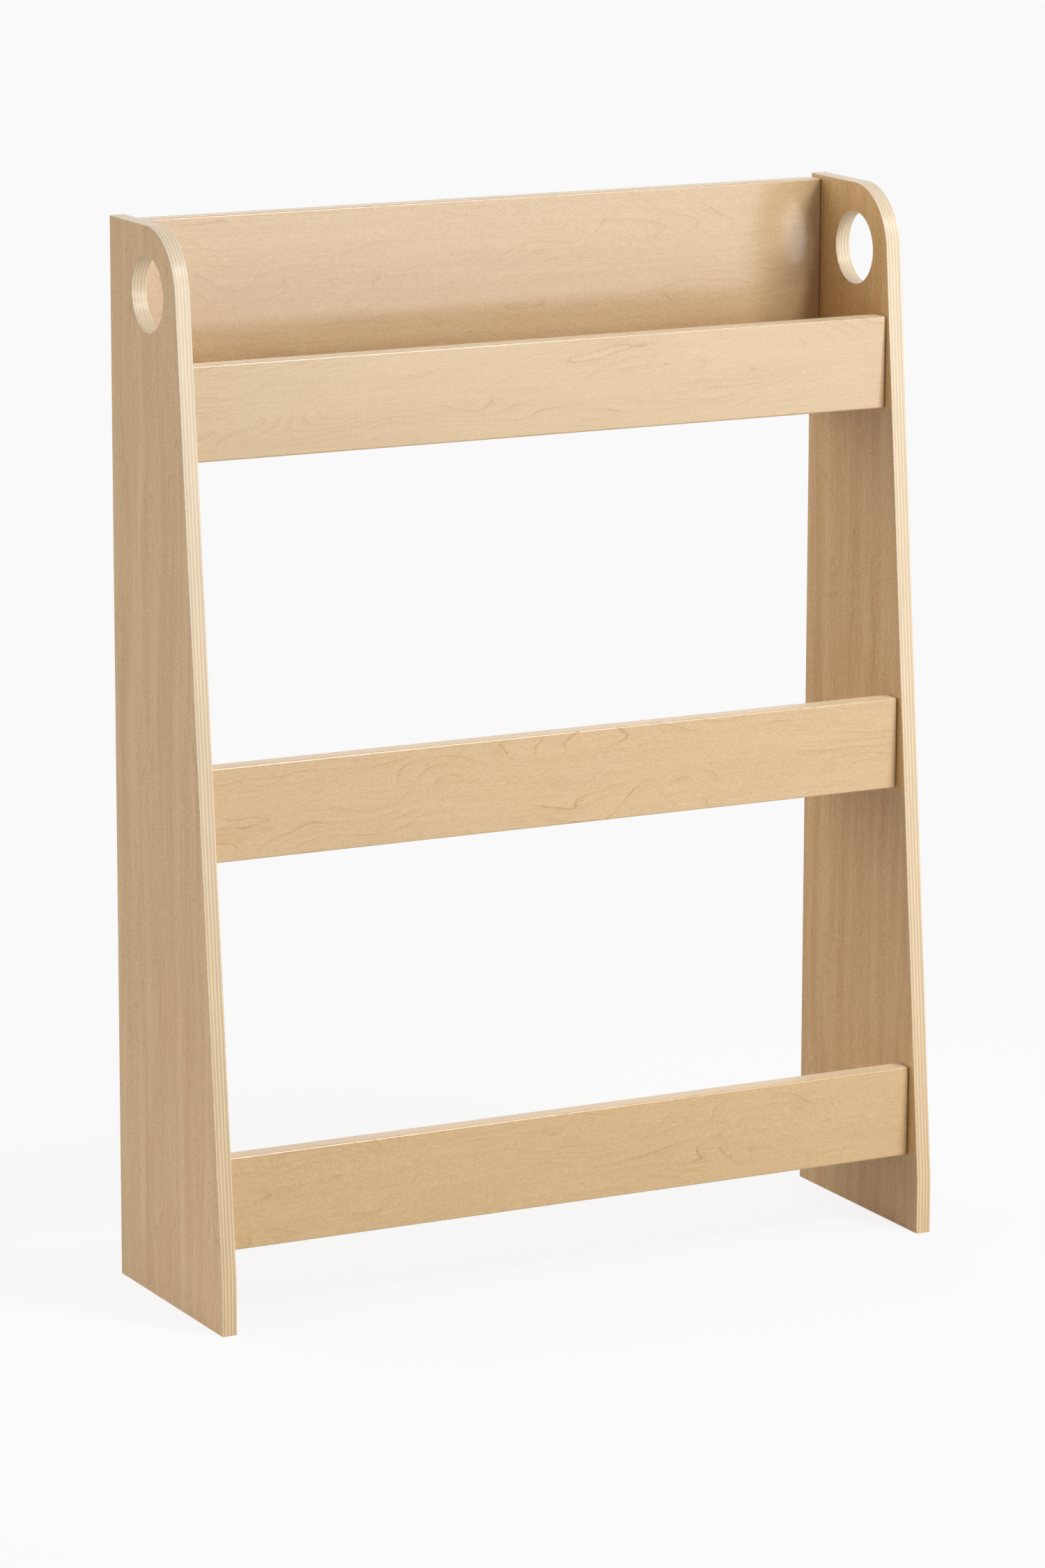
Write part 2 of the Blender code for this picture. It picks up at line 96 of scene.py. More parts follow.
side_low, side_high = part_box("right_side_panel")
BACK_Y = side_high.y
FRONT_Y = side_low.y
TOP_Z = side_high.z
OUTER_X = side_high.x
INNER_X = side_low.x
SIDE_THICKNESS = OUTER_X - INNER_X

# The photograph's view: a camera aimed at a point of the bookcase
VIEW_AZIMUTH = math.radians(27.404)
VIEW_ELEVATION = math.radians(12.311)
VIEW_ROLL = math.radians(0.137)
VIEW_DISTANCE = 4.7226
VIEW_TARGET = Vector((-0.00784, 0, 0.36606))
LENS = 144.75

# The background's brightness, and the shares of it that mirror-like reflections meet:
# FRONT_SHEEN before the object, all of it in the room behind and FLOOR_SHEEN on the floor behind
WHITE = 0.947
FRONT_SHEEN = 0.15
FLOOR_SHEEN = 0.35
ROOM_FADE = 0.2
FLOOR_FADE = 0.3

# The room's light on surfaces: bright behind, turned to the left by ROOM_TURN, and dim in front
ROOM_TURN = math.radians(30)
ROOM_EDGE = -0.1
ROOM_CORE = 0.8
ROOM_BEFORE = 0.03
ROOM_BEHIND = 2.1
OVERHEAD_EDGE = 0.25
OVERHEAD_CORE = 0.85
ROOM_OVERHEAD = 0.3

# Floor: it takes a soft shadow near the object and fades to the background from SHADOW_NEAR on
FLOOR_COLOUR = 0.75
FLOOR_RADIUS = 30.0
SHADOW_NEAR = 0.35
SHADOW_FAR = 1.1
SHADOW_SHARE = 0.16
NEAR_GLOW = 1.03

# Lamps, all aimed at one point
LAMP_TARGET = Vector((0, 0, 0.75))
Lamp = namedtuple("Lamp", "name place width height power shape")
LAMPS = (
    Lamp("side_softbox", Vector((1.65, -2.95, 0.85)), 1.5, 1.6, 19, "RECTANGLE"),
    Lamp("key_lamp", Vector((0.90, -2.95, 1.20)), 0.7, 0.9, 24, "ELLIPSE"),
    Lamp("upper_lamp", Vector((1.35, -2.20, 2.65)), 1.0, 1.0, 49, "ELLIPSE"),
    Lamp("top_lamp", Vector((0, -0.8, 3.2)), 1.6, 1.6, 13, "ELLIPSE"),
)

# Lacquer
COAT = 1.0
COAT_ROUGHNESS = 0.20
COAT_IOR = 1.65
BAND_COAT = 0.25
WOOD_SPECULAR = 0.15

# Veneer noises: scale along and across the grain per metre, seed, detail and roughness
Grain = namedtuple("Grain", "along across seed detail roughness")
DRIFT = Grain(4.0, 12.0, 0, 2.0, 0.5)
WAVER = Grain(30.0, 70.0, 3, 2.0, 0.5)
FIBRE = Grain(12.0, 400.0, 0, 4.0, 0.7)
FLECK = Grain(150.0, 900.0, 0, 3.0, 0.65)
SPECK = Grain(700.0, 1000.0, 0, 2.0, 0.6)
STREAK = Grain(3.0, 62.0, 7, 3.0, 0.6)
CLOUD = Grain(11.0, 34.0, 11, 3.0, 0.6)
CURL = Grain(70.0, 190.0, 5, 3.0, 0.6)
SLOW = Grain(7.0, 24.0, 2, 1.0, 0.5)
BEND = Grain(20.0, 70.0, 6, 3.0, 0.6)
PATCH = Grain(9.0, 45.0, 4, 2.0, 0.5)

# How far the grain wanders, in metres
DRIFT_REACH = 0.030
WAVER_REACH = 0.0020
KNOT_REACH = 0.0045

# How much each noise moves the tone, from 0 (brown) to 1 (cream)
MIDDLE_TONE = 0.5
FIBRE_TONE = 0.64
FLECK_TONE = 0.87
SPECK_TONE = 1.60
CURL_TONE = 0.12
THIN_TONE = 0.25

# An upright veneer has coarser and stronger fibres
UPRIGHT_FINENESS = 0.5
UPRIGHT_STRENGTH = 1.65

# Growth lines: rings per metre, how the noises bend them, and the parts of a ring that are dark
RINGS = 95.0
SLOW_RINGS = 13.0
BEND_RINGS = 0.8
THIN_RINGS = 3.3
THIN_MEAN = 0.25
LINE_CORE = 0.02
LINE_EDGE = 0.11
LATE_START = 0.45
LATE_FULL = 0.97
LATE_END = 0.98
LATE_LEVEL = 0.20
PATCH_LOW = -0.10
PATCH_HIGH = 0.18
LINE_TINT = rgb(0.74, 0.62, 0.48)

# Tints of the slow colour clouds
CLOUD_REACH = 0.14
PINK = rgb(1.004, 0.994, 0.996)
YELLOW = rgb(1.000, 1.000, 0.985)

# Small knots of the bottom rail
Knot = namedtuple("Knot", "along across size")
BOTTOM_KNOTS = (Knot(-0.20, 0.18, 0.006), Knot(-0.02, 0.19, 0.005), Knot(0.12, 0.17, 0.007))
KNOT_SLIMNESS = 0.35
HEART_EDGE = 0.85
HEART_LEVEL = 0.3
HEART_TINT = rgb(0.72, 0.58, 0.46)

# Sheen and relief of the veneer
WOOD_ROUGHNESS = 0.34
FIBRE_ROUGHNESS = 0.16
CLOUD_ROUGHNESS = 0.08
FIBRE_RELIEF = 0.6
LINE_RELIEF = -0.15
VENEER_BUMP = 0.00006

# How far a colour swings to cream or brown, and the least that a channel may fall to
SWING = (0.075, 0.085, 0.065)
LEAST_CHANNEL = 0.01

# One veneer: its colour, its place in the noises, the strength of its streaks and lines, its knots
Sheet = namedtuple("Sheet", "colour shift streaks lines knots", defaults=((),))
# The boards' colours differ partly as the veneer's own tone and partly as painted shade: the top rail
# and the back panel, which the lamps light most strongly, are made darker than the rails below
BOARD_SHEETS = {
    "top_rail": Sheet(rgb(0.660, 0.472, 0.268), 5.0, 0.35, 0.65),
    "middle_rail": Sheet(rgb(0.755, 0.538, 0.312), 6.7, 0.30, 0.65),
    "bottom_rail": Sheet(rgb(0.760, 0.530, 0.283), 8.4, 0.16, 0.70, BOTTOM_KNOTS),
    "back_panel": Sheet(rgb(0.652, 0.467, 0.268), 11.3, 0.45, 0.55),
}
BAND_SHEET = Sheet(rgb(0.85, 0.67, 0.455), 8.6, 0.8, 0.60)
# A paler copy of the edge band for the top rail: painted light that brightens the top rail's upper face
PAINTED_LIGHT_BAND_SHEET = BAND_SHEET._replace(colour=rgb(0.94, 0.75, 0.515))
# The two sides differ partly as painted shade: each colour was matched to its face in view, and the
# right side's inner face stands in shade, so that side is darker and browner
SIDE_COLOURS_WITH_PAINTED_SHADE = {"left": rgb(0.80, 0.523, 0.262), "right": rgb(0.695, 0.448, 0.202)}
SIDE_SHIFT = 2.0
SIDE_STREAKS = 2.0
SIDE_LINES = 0.55
SHELF_COLOUR = rgb(0.76, 0.52, 0.25)
SHELF_SHIFTS = {"top_shelf": 14.0, "middle_shelf": 15.0, "bottom_shelf": 16.0}
SHELF_STREAKS = 0.5
SHELF_LINES = 0.35

# Noises through the solid: scale along X, Y and Z per metre, detail and roughness
Solid = namedtuple("Solid", "scale_x scale_y scale_z detail roughness")

# Plywood edge: pale and tan plies, a little yellower at the foot: painted warm light from the floor and
# shade low down
PALE_TOP = rgb(0.82, 0.695, 0.52)
PALE_FOOT_PAINTED_WARM = rgb(0.90, 0.68, 0.425)
TAN_TOP = rgb(0.72, 0.56, 0.38)
TAN_FOOT_PAINTED_WARM = rgb(0.70, 0.50, 0.28)
PLY_WAVER = Solid(40.0, 22.0, 22.0, 3.0, 0.5)
PLY_STREAK = Solid(2600.0, 60.0, 60.0, 3.0, 0.6)
PLY_PORE = Solid(2200.0, 1500.0, 1500.0, 3.0, 0.65)
PLY_SLOW = Solid(300.0, 14.0, 14.0, 3.0, 0.5)
PLY_SPECK = Solid(500.0, 420.0, 420.0, 3.0, 0.6)
PLY_WAVER_REACH = 0.018
PLY_SOFTNESS = 0.35
STREAK_TONE = 0.16
SLOW_TONE = 0.22
PORE_EDGE = 0.10
PORE_CORE = 0.26
PALE_PORES = 0.75
GLUE_WIDTH = 0.16
GLUE_LEVEL = 0.22
RIM_EDGE = 0.455
RIM_CORE = 0.485
SPECK_EDGE = 0.02
SPECK_CORE = 0.10
PORE_SHARE = 0.35
PORE_DARKNESS = 0.6
PLY_ROUGHNESS = 0.50
STREAK_ROUGHNESS = 0.2
STREAK_RELIEF = 0.5
PORE_RELIEF = -0.6
GLUE_RELIEF = -0.8
PLY_BUMP = 0.00008
PLY_COAT = 0.5
PLY_COAT_ROUGHNESS = 0.35

# Raw dowels
DOWEL_COLOUR = rgb(0.60, 0.42, 0.24)
DOWEL_GRAIN = Solid(300.0, 300.0, 1400.0, 4.0, 0.6)
DOWEL_FINE = Solid(2500.0, 2500.0, 2500.0, 2.0, 0.5)
DOWEL_GRAIN_TONE = 1.2
DOWEL_FINE_TONE = 0.5
DOWEL_DARK = 0.78
DOWEL_LIGHT = 1.15
DOWEL_ROUGHNESS = 0.66
DOWEL_FINE_ROUGHNESS = 0.2
DOWEL_BUMP = 0.00012

# Metal fittings
STEEL_COLOUR = rgb(0.56, 0.57, 0.58)
STEEL_SKIN = Solid(420.0, 420.0, 420.0, 4.0, 0.6)
STEEL_ROUGHNESS = 0.32
STEEL_BUMP = 0.00002
ZINC_COLOUR = rgb(0.47, 0.48, 0.50)
ZINC_SKIN = Solid(900.0, 900.0, 900.0, 4.0, 0.6)
ZINC_ROUGHNESS = 0.45
ZINC_BUMP = 0.00005
METAL_STAIN = Solid(130.0, 130.0, 130.0, 2.0, 0.5)
STAIN_REACH = 0.3
METAL_DARK = 0.85
METAL_LIGHT = 1.08
SKIN_ROUGHNESS = 0.25
STAIN_ROUGHNESS = 0.2


# Meshes


def mesh_of(name, bm):
    bmesh.ops.recalc_face_normals(bm, faces=bm.faces)
    mesh = bpy.data.meshes.new(name)
    bm.to_mesh(mesh)
    bm.free()
    return mesh


def new_object(name, mesh):
    item = bpy.data.objects.new(name, mesh)
    bpy.context.scene.collection.objects.link(item)
    return item


def add_turned(bm, origin, axis, profile, sides):
    """Adds a closed turned body: the profile gives pairs of place along the axis and radius."""
    across = AXIS_Z if abs(axis.z) < abs(axis.x) + abs(axis.y) else AXIS_X
    upward = axis.cross(across)
    rings = []
    for place, radius in profile:
        ring = []
        for step in range(sides):
            angle = 2 * math.pi * step / sides
            spoke = across * math.cos(angle) + upward * math.sin(angle)
            ring.append(bm.verts.new(origin + axis * place + spoke * radius))
        rings.append(ring)
    for first, second in zip(rings, rings[1:]):
        for step in range(sides):
            after = (step + 1) % sides
            bm.faces.new((first[step], first[after], second[after], second[step]))
    bm.faces.new(rings[0])
    bm.faces.new(rings[-1])


def add_prism(bm, outline, axis, near, far):
    """Adds a closed prism and returns the edges of its two end faces."""
    lower = [bm.verts.new(point + axis * near) for point in outline]
    upper = [bm.verts.new(point + axis * far) for point in outline]
    count = len(outline)
    for step in range(count):
        after = (step + 1) % count
        bm.faces.new((lower[step], lower[after], upper[after], upper[step]))
    ends = (bm.faces.new(lower), bm.faces.new(upper))
    return [edge for face in ends for edge in face.edges]


def round_off(bm, edges, radius, segments):
    bmesh.ops.recalc_face_normals(bm, faces=bm.faces)
    bmesh.ops.bevel(
        bm,
        geom=edges,
        offset=radius,
        segments=segments,
        profile=ROUND_PROFILE,
        affect="EDGES",
    )


def rounded_box(name, low, high, radius, segments):
    bm = bmesh.new()
    outline = [
        Vector((low.x, low.y, 0)),
        Vector((high.x, low.y, 0)),
        Vector((high.x, high.y, 0)),
        Vector((low.x, high.y, 0)),
    ]
    add_prism(bm, outline, AXIS_Z, low.z, high.z)
    round_off(bm, bm.edges[:], radius, segments)
    return mesh_of(name, bm)


def side_outline():
    """The side panel's outline as pairs of Y and Z, from the rear foot by the front to the rear top."""
    slope = (BACK_Y - FRONT_Y - SIDE_TOP_DEPTH) / (TOP_Z - SIDE_FOOT_HEIGHT)
    lean = math.atan(slope)
    centre_z = TOP_Z - SIDE_CORNER_RADIUS
    slant_y = FRONT_Y + (centre_z - SIDE_FOOT_HEIGHT) * slope
    centre_y = slant_y + SIDE_CORNER_RADIUS / math.cos(lean)
    points = [(BACK_Y, 0), (FRONT_Y, 0), (FRONT_Y, SIDE_FOOT_HEIGHT)]
    turn = math.pi / 2 - lean
    for step in range(CORNER_STEPS + 1):
        angle = lean + turn * step / CORNER_STEPS
        y = centre_y - SIDE_CORNER_RADIUS * math.cos(angle)
        z = centre_z + SIDE_CORNER_RADIUS * math.sin(angle)
        points.append((y, z))
    points.append((BACK_Y, TOP_Z))
    return points


def side_mesh(name, end):
    bm = bmesh.new()
    outline = [Vector((0, y, z)) for y, z in side_outline()]
    rims = add_prism(bm, outline, AXIS_X, end * INNER_X, end * OUTER_X)
    round_off(bm, rims, SIDE_ARRIS, ARRIS_SEGMENTS)
    return mesh_of(name, bm)


def arris_profile(depth, radius, arris):
    """A bore through a board whose two rims are rounded outwards."""
    profile = [(-CUT_OVERRUN, radius + arris)]
    turns = [math.pi / 2 * step / ARRIS_SEGMENTS for step in range(ARRIS_SEGMENTS + 1)]
    for turn in turns:
        profile.append((arris - arris * math.cos(turn), radius + arris - arris * math.sin(turn)))
    for turn in reversed(turns):
        place = depth - arris + arris * math.cos(turn)
        profile.append((place, radius + arris - arris * math.sin(turn)))
    profile.append((depth + CUT_OVERRUN, radius + arris))
    return profile


# Bores, worked out from the fittings that stand in them


def boxes_touch(first, second):
    return all(first[0][i] < second[1][i] and second[0][i] < first[1][i] for i in range(3))


def fitting_axis(low, high):
    """The axis of a dowel or a bolt: the way it is longest."""
    size = high - low
    return max((AXIS_X, AXIS_Y, AXIS_Z), key=lambda axis: abs(size.dot(axis)))


def add_fitting_bore(bm, low, high):
    axis = fitting_axis(low, high)
    size = high - low
    half_length = size.dot(axis) / 2 + FIT_GAP
    radius = min(size) / 2 + FIT_GAP
    profile = [(-half_length, radius), (half_length, radius)]
    add_turned(bm, (low + high) / 2, axis, profile, BORE_SIDES)


def cam_direction(name):
    """The way a cam lock's housing opens."""
    return AXIS_Y if name.startswith("back_panel") else -AXIS_Z


def add_cam_housing(bm, name, low, high):
    outward = cam_direction(name)
    size = high - low
    half_height = abs(size.dot(outward)) / 2
    radius = max(size) / 2 + FIT_GAP
    profile = [(-half_height - FIT_GAP, radius), (half_height + CUT_OVERRUN, radius)]
    add_turned(bm, (low + high) / 2, outward, profile, BORE_SIDES)


def cut_away(item, bm):
    cutter = new_object(item.name + "_cutter", mesh_of(item.name + "_cutter", bm))
    modifier = item.modifiers.new("cut", "BOOLEAN")
    modifier.operation = "DIFFERENCE"
    modifier.solver = "EXACT"
    modifier.object = cutter
    return cutter


def settle(item, cutters):
    """Turns the item's cuts into plain mesh, with faces that shade flat beside round edges."""
    bpy.context.view_layer.update()
    graph = bpy.context.evaluated_depsgraph_get()
    mesh = bpy.data.meshes.new_from_object(item.evaluated_get(graph))
    item.modifiers.clear()
    item.data = mesh
    for cutter in cutters:
        bpy.data.objects.remove(cutter, do_unlink=True)
    mesh.shade_smooth()
    mesh.set_sharp_from_angle(angle=SMOOTH_ANGLE)
    modifier = item.modifiers.new("normals", "WEIGHTED_NORMAL")
    modifier.keep_sharp = True
    modifier.weight = NORMAL_WEIGHT


def cut_fittings(item, node):
    """Cuts the bores of every fitting that stands in the node's board."""
    board_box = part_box(node)
    bores = bmesh.new()
    housings = bmesh.new()
    for name in sorted(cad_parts):
        fitting_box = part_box(name)
        if not boxes_touch(board_box, fitting_box):
            continue
        if "cam_lock" in name:
            add_cam_housing(housings, name, *fitting_box)
        elif "dowel" in name or "cam_bolt" in name:
            add_fitting_bore(bores, *fitting_box)
    return [cut_away(item, shape) for shape in (bores, housings) if len(shape.verts)]


def stand_for(item, node, materials):
    item.data.materials.clear()
    for material in materials:
        item.data.materials.append(material)
    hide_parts(node)
    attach(item, "root")


def build_board(node, radius, segments, face, edge, edge_axis):
    """A veneered board; the faces square to edge_axis have the edge band's material."""
    low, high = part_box(node)
    board = new_object(node + "_board", rounded_box(node, low, high, radius, segments))
    settle(board, cut_fittings(board, node))
    stand_for(board, node, [face, edge])
    for polygon in board.data.polygons:
        polygon.material_index = 1 if abs(polygon.normal.dot(edge_axis)) > BAND_SQUARENESS else 0


def build_side(node, end, materials):
    """A plywood side; all but its two broad faces have the plywood edge's material."""
    panel = new_object(node + "_board", side_mesh(node, end))
    centre = Vector((end * INNER_X, BACK_Y - HANDLE_FROM_BACK, TOP_Z - HANDLE_FROM_TOP))
    hole = bmesh.new()
    profile = arris_profile(SIDE_THICKNESS, HANDLE_DIAMETER / 2, SIDE_ARRIS)
    add_turned(hole, centre, AXIS_X * end, profile, HANDLE_SIDES)
    cutters = [cut_away(panel, hole)] + cut_fittings(panel, node)
    settle(panel, cutters)
    stand_for(panel, node, materials)
    for polygon in panel.data.polygons:
        polygon.material_index = 0 if abs(polygon.normal.x) > FACE_SQUARENESS else 1


# Materials


class Nodes:
    """A node tree; each call adds a node and returns its output."""

    def __init__(self, tree):
        self.tree = tree

    def put(self, socket, value):
        if isinstance(value, bpy.types.NodeSocket):
            self.tree.links.new(value, socket)
        else:
            socket.default_value = value

    def node(self, kind, inputs, output=0, **settings):
        made = self.tree.nodes.new(kind)
        for key, value in settings.items():
            setattr(made, key, value)
        for key, value in inputs.items():
            self.put(made.inputs[key], value)
        return made.outputs[output]

    def math(self, operation, *values):
        return self.node("ShaderNodeMath", dict(enumerate(values)), operation=operation)

    def add(self, *values):
        total = values[0]
        for value in values[1:]:
            total = self.math("ADD", total, value)
        return total

    def times(self, first, second):
        return self.math("MULTIPLY", first, second)

    def less(self, first, second):
        return self.math("SUBTRACT", first, second)

    def size_of(self, value):
        return self.math("ABSOLUTE", value)

    def vector(self, x, y, z):
        return self.node("ShaderNodeCombineXYZ", {0: x, 1: y, 2: z})

    def parts(self, vector):
        parted = self.tree.nodes.new("ShaderNodeSeparateXYZ")
        self.tree.links.new(vector, parted.inputs[0])
        return parted.outputs

    def noise(self, vector, detail, roughness):
        """Noise about zero, mostly within a quarter either way."""
        inputs = {"Vector": vector, "Scale": 1.0, "Detail": detail, "Roughness": roughness}
        return self.less(self.node("ShaderNodeTexNoise", inputs), 0.5)

    def span(self, value, low, high, new_low=0.0, new_high=1.0, smooth=True):
        inputs = {0: value, 1: low, 2: high, 3: new_low, 4: new_high}
        kind = "SMOOTHSTEP" if smooth else "LINEAR"
        return self.node("ShaderNodeMapRange", inputs, interpolation_type=kind, clamp=True)

    def mix(self, share, first, second, blend="MIX"):
        inputs = {0: share, 6: first, 7: second}
        return self.node("ShaderNodeMix", inputs, 2, data_type="RGBA", blend_type=blend)

    def tint(self, colour, tint):
        return self.mix(1.0, colour, tint, "MULTIPLY")


class Shading(Nodes):
    """One material's node tree."""

    def __init__(self, name):
        self.material = bpy.data.materials.new(name)
        self.material.use_nodes = True
        super().__init__(self.material.node_tree)
        self.shader = self.tree.nodes["Principled BSDF"]

    def position(self):
        """The point in the part's own frame, as three numbers."""
        return self.parts(self.node("ShaderNodeTexCoord", {}, "Object"))

    def grain(self, kind, along, across, shift, fineness=1.0):
        scaled = self.times(across, kind.across * fineness)
        place = self.vector(self.times(along, kind.along), scaled, shift + kind.seed)
        return self.noise(place, kind.detail, kind.roughness)

    def solid(self, kind, x, y, z):
        place = self.vector(
            self.times(x, kind.scale_x),
            self.times(y, kind.scale_y),
            self.times(z, kind.scale_z),
        )
        return self.noise(place, kind.detail, kind.roughness)

    def lacquer(self, weight, roughness):
        self.shader.inputs["Coat Weight"].default_value = weight
        self.shader.inputs["Coat Roughness"].default_value = roughness
        self.shader.inputs["Coat IOR"].default_value = COAT_IOR
        self.shader.inputs["Specular IOR Level"].default_value = WOOD_SPECULAR

    def finish(self, colour, roughness, height, bump_distance):
        self.put(self.shader.inputs["Base Color"], colour)
        self.put(self.shader.inputs["Roughness"], roughness)
        bump = {"Height": height, "Distance": bump_distance, "Strength": 1.0}
        self.put(self.shader.inputs["Normal"], self.node("ShaderNodeBump", bump))
        return self.material


def tinted(colour, share):
    return rgb(*(channel * share for channel in colour[:3]))


def shifted(colour, share):
    """A colour moved by SWING towards cream (share 1) or brown (share -1)."""
    channels = zip(colour, SWING)
    return rgb(*(max(channel + swing * share, LEAST_CHANNEL) for channel, swing in channels))


def knot_field(look, knots, along, across, shift):
    """A bell over each knot, 1 at its heart and drawn out along the grain."""
    bells = []
    for knot in knots:
        off_along = look.times(look.less(along, knot.along + shift), KNOT_SLIMNESS / knot.size)
        off_across = look.times(look.less(across, knot.across), 1.0 / knot.size)
        square = look.add(look.times(off_along, off_along), look.times(off_across, off_across))
        bells.append(look.math("EXPONENT", look.times(square, -1.0)))
    return look.add(*bells)


def growth_lines(look, along, across, moved, shift):
    """Returns the rings' dark parts, the thin lines between them and the patches where both show.

    They are level lines of a slow field, so they run along the board and close in loops.
    """
    slow = look.grain(SLOW, along, across, shift)
    bend = look.grain(BEND, along, across, shift)
    rings = look.add(
        look.times(moved, RINGS),
        look.times(slow, SLOW_RINGS),
        look.times(bend, BEND_RINGS),
    )
    place = look.math("FRACT", rings)
    late = look.span(place, LATE_START, LATE_FULL, 0.0, LATE_LEVEL)
    late = look.times(late, look.span(place, 1.0, LATE_END))
    dark = look.math("MAXIMUM", look.span(place, LINE_EDGE, LINE_CORE), late)
    thin = look.size_of(look.less(look.math("FRACT", look.times(rings, THIN_RINGS)), 0.5))
    patches = look.span(look.grain(PATCH, along, across, shift), PATCH_LOW, PATCH_HIGH)
    return dark, look.less(thin, THIN_MEAN), patches


def veneer(name, sheet, upright=False, coat=COAT):
    """Sliced veneer with its grain along the board: fibres, flecks, bands, growth lines and knots."""
    look = Shading(name)
    x, y, z = look.position()
    along, across = (z, y) if upright else (x, look.less(z, y))
    shift = sheet.shift
    along = look.add(along, shift)
    fineness = UPRIGHT_FINENESS if upright else 1.0
    strength = UPRIGHT_STRENGTH if upright else 1.0

    drift = look.grain(DRIFT, along, across, shift)
    waver = look.grain(WAVER, along, across, shift)
    moved = look.add(across, look.times(drift, DRIFT_REACH), look.times(waver, WAVER_REACH))
    if sheet.knots:
        eyes = knot_field(look, sheet.knots, along, across, shift)
        moved = look.add(moved, look.times(eyes, KNOT_REACH))

    fibre = look.grain(FIBRE, along, moved, shift, fineness)
    fleck = look.grain(FLECK, along, moved, shift, fineness)
    speck = look.grain(SPECK, along, moved, shift, fineness)
    streak = look.grain(STREAK, along, moved, shift)
    cloud = look.grain(CLOUD, along, across, shift)
    curl = look.grain(CURL, along, across, shift)
    dark, thin, patches = growth_lines(look, along, across, moved, shift)
    line = look.times(look.times(dark, patches), sheet.lines)

    tone = look.add(
        MIDDLE_TONE,
        look.times(fibre, FIBRE_TONE * strength),
        look.times(fleck, FLECK_TONE * strength),
        look.times(speck, SPECK_TONE * strength),
        look.times(streak, sheet.streaks),
        look.times(curl, CURL_TONE),
        look.times(thin, look.times(patches, THIN_TONE)),
    )
    brown = shifted(sheet.colour, -1)
    cream = shifted(sheet.colour, 1)
    wood = look.mix(look.span(tone, 0.0, 1.0, smooth=False), brown, cream)
    hue = look.mix(look.span(cloud, -CLOUD_REACH, CLOUD_REACH), PINK, YELLOW)
    wood = look.tint(wood, hue)
    wood = look.mix(line, wood, look.tint(wood, LINE_TINT))
    if sheet.knots:
        heart = look.span(eyes, HEART_EDGE, 1.0, 0.0, HEART_LEVEL)
        wood = look.mix(heart, wood, look.tint(wood, HEART_TINT))

    roughness = look.add(
        WOOD_ROUGHNESS,
        look.times(fibre, FIBRE_ROUGHNESS),
        look.times(cloud, CLOUD_ROUGHNESS),
    )
    height = look.add(
        look.times(fibre, FIBRE_RELIEF),
        look.times(fleck, FIBRE_RELIEF),
        look.times(dark, LINE_RELIEF),
    )
    look.lacquer(coat, COAT_ROUGHNESS)
    return look.finish(wood, roughness, height, VENEER_BUMP)


def ply_edge(name):
    """The cut edge of the plywood: pale and tan plies in turn, with thin glue lines and open pores."""
    look = Shading(name)
    x, y, z = look.position()
    depth = look.times(look.less(OUTER_X, look.size_of(x)), 1 / SIDE_THICKNESS)
    waver = look.solid(PLY_WAVER, x, y, z)
    turn = look.times(look.add(depth, look.times(waver, PLY_WAVER_REACH)), math.pi * PLY_COUNT)
    wave = look.math("SINE", turn)
    share = look.span(wave, -PLY_SOFTNESS, PLY_SOFTNESS)

    # Painted warm light and shade: the plies' colour shifts with height alone, yellower towards the foot
    painted_warmth_share = look.span(z, 0.0, TOP_Z, smooth=False)
    pale = look.mix(painted_warmth_share, PALE_FOOT_PAINTED_WARM, PALE_TOP)
    tan = look.mix(painted_warmth_share, TAN_FOOT_PAINTED_WARM, TAN_TOP)
    wood = look.mix(share, tan, pale)

    streak = look.solid(PLY_STREAK, x, y, z)
    pore = look.solid(PLY_PORE, x, y, z)
    slow = look.solid(PLY_SLOW, x, y, z)
    speck = look.solid(PLY_SPECK, x, y, z)
    fewer = look.less(1.0, look.times(share, PALE_PORES))
    open_pore = look.times(look.span(pore, PORE_EDGE, PORE_CORE), fewer)
    glue = look.span(look.size_of(wave), GLUE_WIDTH, 0.0, 0.0, GLUE_LEVEL)
    rim = look.span(look.size_of(look.less(depth, 0.5)), RIM_EDGE, RIM_CORE)
    speck = look.times(rim, look.span(speck, SPECK_EDGE, SPECK_CORE))
    dark = look.add(look.times(open_pore, PORE_SHARE), glue, look.times(speck, PORE_SHARE))
    dark = look.math("MINIMUM", dark, 1.0)
    tone = look.add(1.0, look.times(streak, STREAK_TONE), look.times(slow, SLOW_TONE))
    tone = look.times(tone, look.less(1.0, look.times(dark, PORE_DARKNESS)))
    wood = look.tint(wood, look.node("ShaderNodeCombineColor", {0: tone, 1: tone, 2: tone}))

    height = look.add(
        look.times(streak, STREAK_RELIEF),
        look.times(open_pore, PORE_RELIEF),
        look.times(glue, GLUE_RELIEF),
    )
    roughness = look.add(PLY_ROUGHNESS, look.times(streak, STREAK_ROUGHNESS))
    look.lacquer(PLY_COAT, PLY_COAT_ROUGHNESS)
    return look.finish(wood, roughness, height, PLY_BUMP)


def turned_wood(name, colour):
    """Raw hardwood for the dowels."""
    look = Shading(name)
    x, y, z = look.position()
    grain = look.solid(DOWEL_GRAIN, x, y, z)
    fine = look.solid(DOWEL_FINE, x, y, z)
    tone = look.add(
        MIDDLE_TONE,
        look.times(grain, DOWEL_GRAIN_TONE),
        look.times(fine, DOWEL_FINE_TONE),
    )
    dark = tinted(colour, DOWEL_DARK)
    wood = look.mix(look.span(tone, 0.0, 1.0), dark, tinted(colour, DOWEL_LIGHT))
    roughness = look.add(DOWEL_ROUGHNESS, look.times(fine, DOWEL_FINE_ROUGHNESS))
    return look.finish(wood, roughness, look.add(grain, fine), DOWEL_BUMP)


